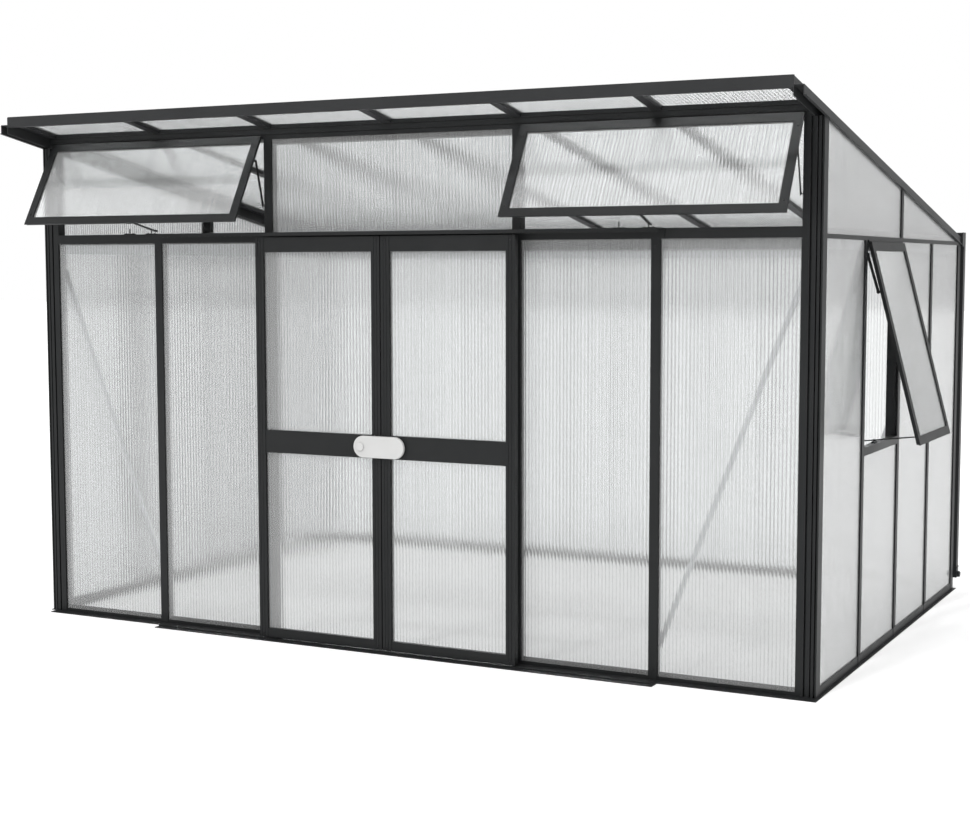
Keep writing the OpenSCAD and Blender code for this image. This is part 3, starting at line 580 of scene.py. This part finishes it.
def press_beads(name, panels, body="root"):
    """Beads round the sheets of these nodes: (node, the way across it, how deep the sheet sits)."""
    meshes = []
    for node, across, seat in panels:
        for points in solids_of(node):
            stand, width, thickness, height, rise = slab_frame(points, across)
            beads = grown(glazing_bead, {"Width": width, "Thickness": thickness, "Height": height,
                                         "Rise": rise, "Seat": seat, "Material": rubber})
            beads.transform(stand)
            meshes.append(beads)
    return plain_piece(name, meshes, body)


# how far a bead's middle stands from the sheet's edge, in a wall and in a leaf
wall_seat = 0.016
leaf_seat = 0.010
press_beads("wall_beads", [("front_panels", 0, wall_seat), ("back_panels", 0, wall_seat),
                           ("left_panels", 1, wall_seat), ("right_panels", 1, wall_seat)])
press_beads("leaf_beads", [("vent_panels", 0, leaf_seat), ("window_panel", 1, leaf_seat)])
press_beads("left_door_beads", [("left_door_panels", 0, leaf_seat)], "left_door")
press_beads("right_door_beads", [("right_door_panels", 0, leaf_seat)], "right_door")

# ---- Screws ----
# Black zinc-plated steel socket screws with low domed heads, where the bars and posts meet
# the sills and rails, at the corners of the leaves, and down every glazing cap of the roof.
screw_heads, sizes, out = geometry_tree("screw_heads", [
    ("Points", "NodeSocketGeometry", None), ("Radius", "NodeSocketFloat", 0.0045),
    ("Head", "NodeSocketFloat", 0.0024), ("Sink", "NodeSocketFloat", 0.0006),
    ("Facing", "NodeSocketVector", (0.0, 0.0, 1.0)), ("Material", "NodeSocketMaterial", None)])
size = sizes.outputs
# shares of the radius and of the head's height: the flat top, the socket in it, its depth
top_share = 0.72
socket_share = 0.62
socket_depth = 0.6
dome = put(screw_heads, "GeometryNodeMeshCone",
           {"Vertices": 14, "Side Segments": 1, "Radius Bottom": size["Radius"],
            "Radius Top": maths(screw_heads, "MULTIPLY", size["Radius"], top_share),
            "Depth": maths(screw_heads, "ADD", size["Head"], size["Sink"])})
rim = put(screw_heads, "GeometryNodeExtrudeMesh",
          {"Mesh": dome.outputs["Mesh"], "Selection": dome.outputs["Top"], "Offset Scale": 0.0})
drawn_in = put(screw_heads, "GeometryNodeScaleElements",
               {"Geometry": rim.outputs["Mesh"], "Selection": rim.outputs["Top"],
                "Scale": socket_share})
socket = put(screw_heads, "GeometryNodeExtrudeMesh",
             {"Mesh": drawn_in.outputs[0], "Selection": rim.outputs["Top"],
              "Offset Scale": maths(screw_heads, "MULTIPLY", size["Head"], -socket_depth)})
lowered = put(screw_heads, "GeometryNodeTransform",
              {"Geometry": socket.outputs["Mesh"],
               "Translation": join_xyz(screw_heads, 0.0, 0.0,
                                       maths(screw_heads, "MULTIPLY", size["Sink"], -1.0))})
turned = put(screw_heads, "FunctionNodeAlignRotationToVector", {"Vector": size["Facing"]}, axis="Z")
copies = put(screw_heads, "GeometryNodeInstanceOnPoints",
             {"Points": size["Points"], "Instance": lowered.outputs[0],
              "Rotation": turned.outputs[0]})
finish_tree(screw_heads, copies.outputs[0], size, out)

black_steel = powder_coat("black_zinc", (0.010, 0.010, 0.011), (0.030, 0.030, 0.032), 0.34)


def surface_under(node, start, heading):
    """Where a line from start first meets a node's surface, and which way that surface faces."""
    mesh = nodes[node].data
    surface = BVHTree.FromPolygons([v.co for v in mesh.vertices], [p.vertices for p in mesh.polygons])
    found, normal, _, _ = surface.ray_cast(Vector(start), Vector(heading))
    return found, normal


def drive_screws(name, rows, body="root"):
    """Screw heads set down on the CAD metal: rows of (node, heading, starting points)."""
    square_on = -0.8
    meshes = []
    for node, heading, starts in rows:
        by_facing = {}
        for start in starts:
            spot, normal = surface_under(node, start, heading)
            if spot and normal.dot(Vector(heading)) < square_on:
                by_facing.setdefault(tuple(round(n, 3) for n in normal), []).append(spot)
        for facing, found in by_facing.items():
            spots = bpy.data.meshes.new("spots")
            spots.from_pydata(found, [], [])
            meshes.append(grown(screw_heads, {"Facing": facing, "Material": black_steel}, spots))
    return plain_piece(name, meshes, body)


def middles(node, axis):
    """The middle of each solid of a node along one axis."""
    return sorted({round((min(p[axis] for p in points) + max(p[axis] for p in points)) / 2, 4)
                   for points in solids_of(node)})


# how far a screw stands from the end of the member that it holds
foot_inset = 0.045
head_inset = 0.026
leaf_inset = 0.019


def upright_row(node, axis, heading, foot, head):
    """Two screws in each upright of a node, seen from outside: one low, one high."""
    low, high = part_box(node)
    outside = Vector(low if sum(heading) > 0 else high) - Vector(heading)
    starts = []
    for middle in middles(node, axis):
        for z in (foot, head):
            start = outside.copy()
            start[axis] = middle
            start.z = z
            starts.append(start)
    return node, heading, starts


def wall_row(node, axis, heading, held_by):
    """Screws at the foot of each upright and just below the member that holds its head."""
    return upright_row(node, axis, heading, foot_inset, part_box(held_by)[0][2] - head_inset)


def leaf_row(node, axis, heading):
    """Screws at the two ends of each stile of a leaf."""
    low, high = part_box(node)
    return upright_row(node, axis, heading, low[2] + leaf_inset, high[2] - leaf_inset)


from_front = (0, 1, 0)
wall_rows = [wall_row("front_bars", 0, from_front, "front_rail"),
             wall_row("front_corner_posts", 0, from_front, "head_beam"),
             wall_row("left_bars", 1, (1, 0, 0), "side_rails"),
             wall_row("right_bars", 1, (-1, 0, 0), "side_rails"),
             wall_row("back_bars", 0, (0, -1, 0), "back_beam")]
leaf_rows = [leaf_row("vent_stiles", 0, from_front), leaf_row("window_stiles", 1, (-1, 0, 0))]
# the roof's screws run down the middle of every cap, a constant step apart
caps_low, caps_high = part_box("rafters")
screws_per_cap = 7
cap_inset = 0.08
step = (caps_high[1] - caps_low[1] - 2 * cap_inset) / (screws_per_cap - 1)
roof_rows = [("rafters", (0, 0, -1), [(x, caps_low[1] + cap_inset + number * step, caps_high[2] + 1)
                                      for x in middles("rafters", 0)
                                      for number in range(screws_per_cap)])]
drive_screws("frame_screws", wall_rows)
drive_screws("roof_screws", roof_rows)
drive_screws("leaf_screws", leaf_rows)
for side in ("left", "right"):
    drive_screws(side + "_door_screws", [leaf_row(side + "_door_stiles", 0, from_front)], side + "_door")

# ---- Door brush ----
# A strip of black nylon bristles down the left leaf's meeting edge, which keeps draughts
# out of the gap between the closed leaves.
brush_tree, sizes, out = geometry_tree("bristle_row", [
    ("Foot", "NodeSocketVector", (0.0, 0.0, 0.0)), ("Pitch", "NodeSocketFloat", 0.0035),
    ("Count", "NodeSocketInt", 500), ("Length", "NodeSocketFloat", 0.004),
    ("Thick", "NodeSocketFloat", 0.0009), ("Seed", "NodeSocketInt", 3),
    ("Material", "NodeSocketMaterial", None)])
size = sizes.outputs
roots = put(brush_tree, "GeometryNodeMeshLine",
            {"Count": size["Count"], "Start Location": size["Foot"],
             "Offset": join_xyz(brush_tree, 0.0, 0.0, size["Pitch"])})
bristle = put(brush_tree, "GeometryNodeMeshCone",
              {"Vertices": 4, "Radius Bottom": size["Thick"],
               "Radius Top": maths(brush_tree, "MULTIPLY", size["Thick"], 0.5),
               "Depth": size["Length"]})
# each bristle points level out of the edge, and leans a little at random
side_lean = 0.12
up_lean = 0.10
level = math.pi / 2
lean = put(brush_tree, "FunctionNodeRandomValue", {"Seed": size["Seed"]}, data_type="FLOAT_VECTOR")
lean.inputs[0].default_value = (-side_lean, level - up_lean, 0.0)
lean.inputs[1].default_value = (side_lean, level + up_lean, 0.0)
copies = put(brush_tree, "GeometryNodeInstanceOnPoints",
             {"Points": roots.outputs[0], "Instance": bristle.outputs["Mesh"],
              "Rotation": lean.outputs[0]})
finish_tree(brush_tree, copies.outputs[0], size, out)

# three rows of bristles set in the edge, from near the leaf's foot to near its head
edge_low, edge_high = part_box("left_door_stiles")
row_insets = (0.007, 0.010, 0.013)
brush_foot = edge_low[2] + 0.02
bristles = 507
first_seed = 3
rows = [grown(brush_tree, {"Foot": (edge_high[0], edge_low[1] + inset, brush_foot),
                           "Count": bristles, "Seed": first_seed + number, "Material": rubber})
        for number, inset in enumerate(row_insets)]
plain_piece("door_brush", rows, "left_door")

# ---- Downpipe foot ----
# A moulded socket pushed on the pipe's lower end, with a rim round its mouth and a ribbed
# spout to the side for a hose. It is coloured like the pipe and held by its own grip.


def pipe_foot():
    """The socket as two rounded boxes round the pipe, and the spout as one turned form."""
    socket_h = 0.060
    rim_h = 0.008
    skin = 0.0020
    rim = 0.0035
    spout_z = 0.017
    # rings of the spout: how far out of the socket's side, and the radius there
    spout_rings = [(-0.004, 0.0150), (0.003, 0.0150), (0.004, 0.0168), (0.007, 0.0150),
                   (0.009, 0.0166), (0.012, 0.0140), (0.014, 0.0125)]
    sides = 24
    (left, front, low), (right, back, _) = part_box("downpipe")
    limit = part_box("gutter")[1][1]
    head = low + socket_h
    work = bmesh.new()
    for proud, bottom, top in ((skin, low, head), (rim, head - rim_h, head)):
        made = bmesh.ops.create_cube(work, size=1.0)["verts"]
        for v in made:
            v.co = (right + proud if v.co.x > 0 else left - proud,
                    min(back + proud, limit) if v.co.y > 0 else front - proud,
                    top if v.co.z > 0 else bottom)
        edges = [edge for edge in work.edges if edge.verts[0] in made]
        bmesh.ops.bevel(work, geom=edges, offset=skin / 2, segments=2, affect="EDGES")
    rings = []
    for along, radius in spout_rings:
        angles = [turn * math.tau / sides for turn in range(sides)]
        rings.append([work.verts.new((right + skin + along,
                                      (front + back) / 2 + radius * math.cos(angle),
                                      low + spout_z + radius * math.sin(angle)))
                      for angle in angles])
    for near, far in zip(rings, rings[1:]):
        for turn in range(sides):
            after = (turn + 1) % sides
            work.faces.new((near[turn], near[after], far[after], far[turn]))
    work.faces.new(rings[0][::-1])
    work.faces.new(rings[-1])
    bmesh.ops.recalc_face_normals(work, faces=work.faces[:])
    made = bpy.data.meshes.new("foot")
    work.to_mesh(made)
    work.free()
    made.materials.append(roof_coat_painted_lighter)
    return made


plain_piece("pipe_foot", [pipe_foot()], "root")

# ---- Braces and girts ----
# Flat strips of mill-finish aluminium, marked with the fine lines of the extrusion. They
# are bolted across the corner bays and level along the side and back walls, on the inside.
bare, tree, shader, _ = new_material("bare_aluminium")
place = put(tree, "ShaderNodeTexCoord")
drawn = put(tree, "ShaderNodeGroup", {"Stretch": (3.0, 3.0, 420.0)}, node_tree=streaks)
tree.links.new(place.outputs["Object"], drawn.inputs["Vector"])
cloud = put(tree, "ShaderNodeGroup", {"Drift per metre": 5.0}, node_tree=coat_grain)
tree.links.new(place.outputs["Object"], cloud.inputs["Vector"])
tone = put(tree, "ShaderNodeMix", {"Factor": cloud.outputs["Tone"]}, data_type="RGBA")
tone.inputs["A"].default_value = (0.44, 0.45, 0.46, 1.0)
tone.inputs["B"].default_value = (0.58, 0.59, 0.60, 1.0)
dull = put(tree, "ShaderNodeMapRange", {"Value": drawn.outputs["Streak"], "To Min": 0.34, "To Max": 0.5})
lines = put(tree, "ShaderNodeBump", {"Height": drawn.outputs["Streak"], "Strength": 0.2,
                                     "Distance": 0.0002})
tree.links.new(tone.outputs["Result"], shader.inputs["Base Color"])
tree.links.new(dull.outputs["Result"], shader.inputs["Roughness"])
tree.links.new(lines.outputs["Normal"], shader.inputs["Normal"])
shader.inputs["Metallic"].default_value = 1.0
finish_nodes(bare, ["braces"])

# ---- Latch ----
# A moulded cover plate with a round turning knob, both in light grey plastic with a fine
# grain from the mould.
plastic = powder_coat("latch_plastic", (0.57, 0.57, 0.565), (0.63, 0.63, 0.625), 0.42)
finish_nodes(plastic, ["latch_plate", "latch_knob"])
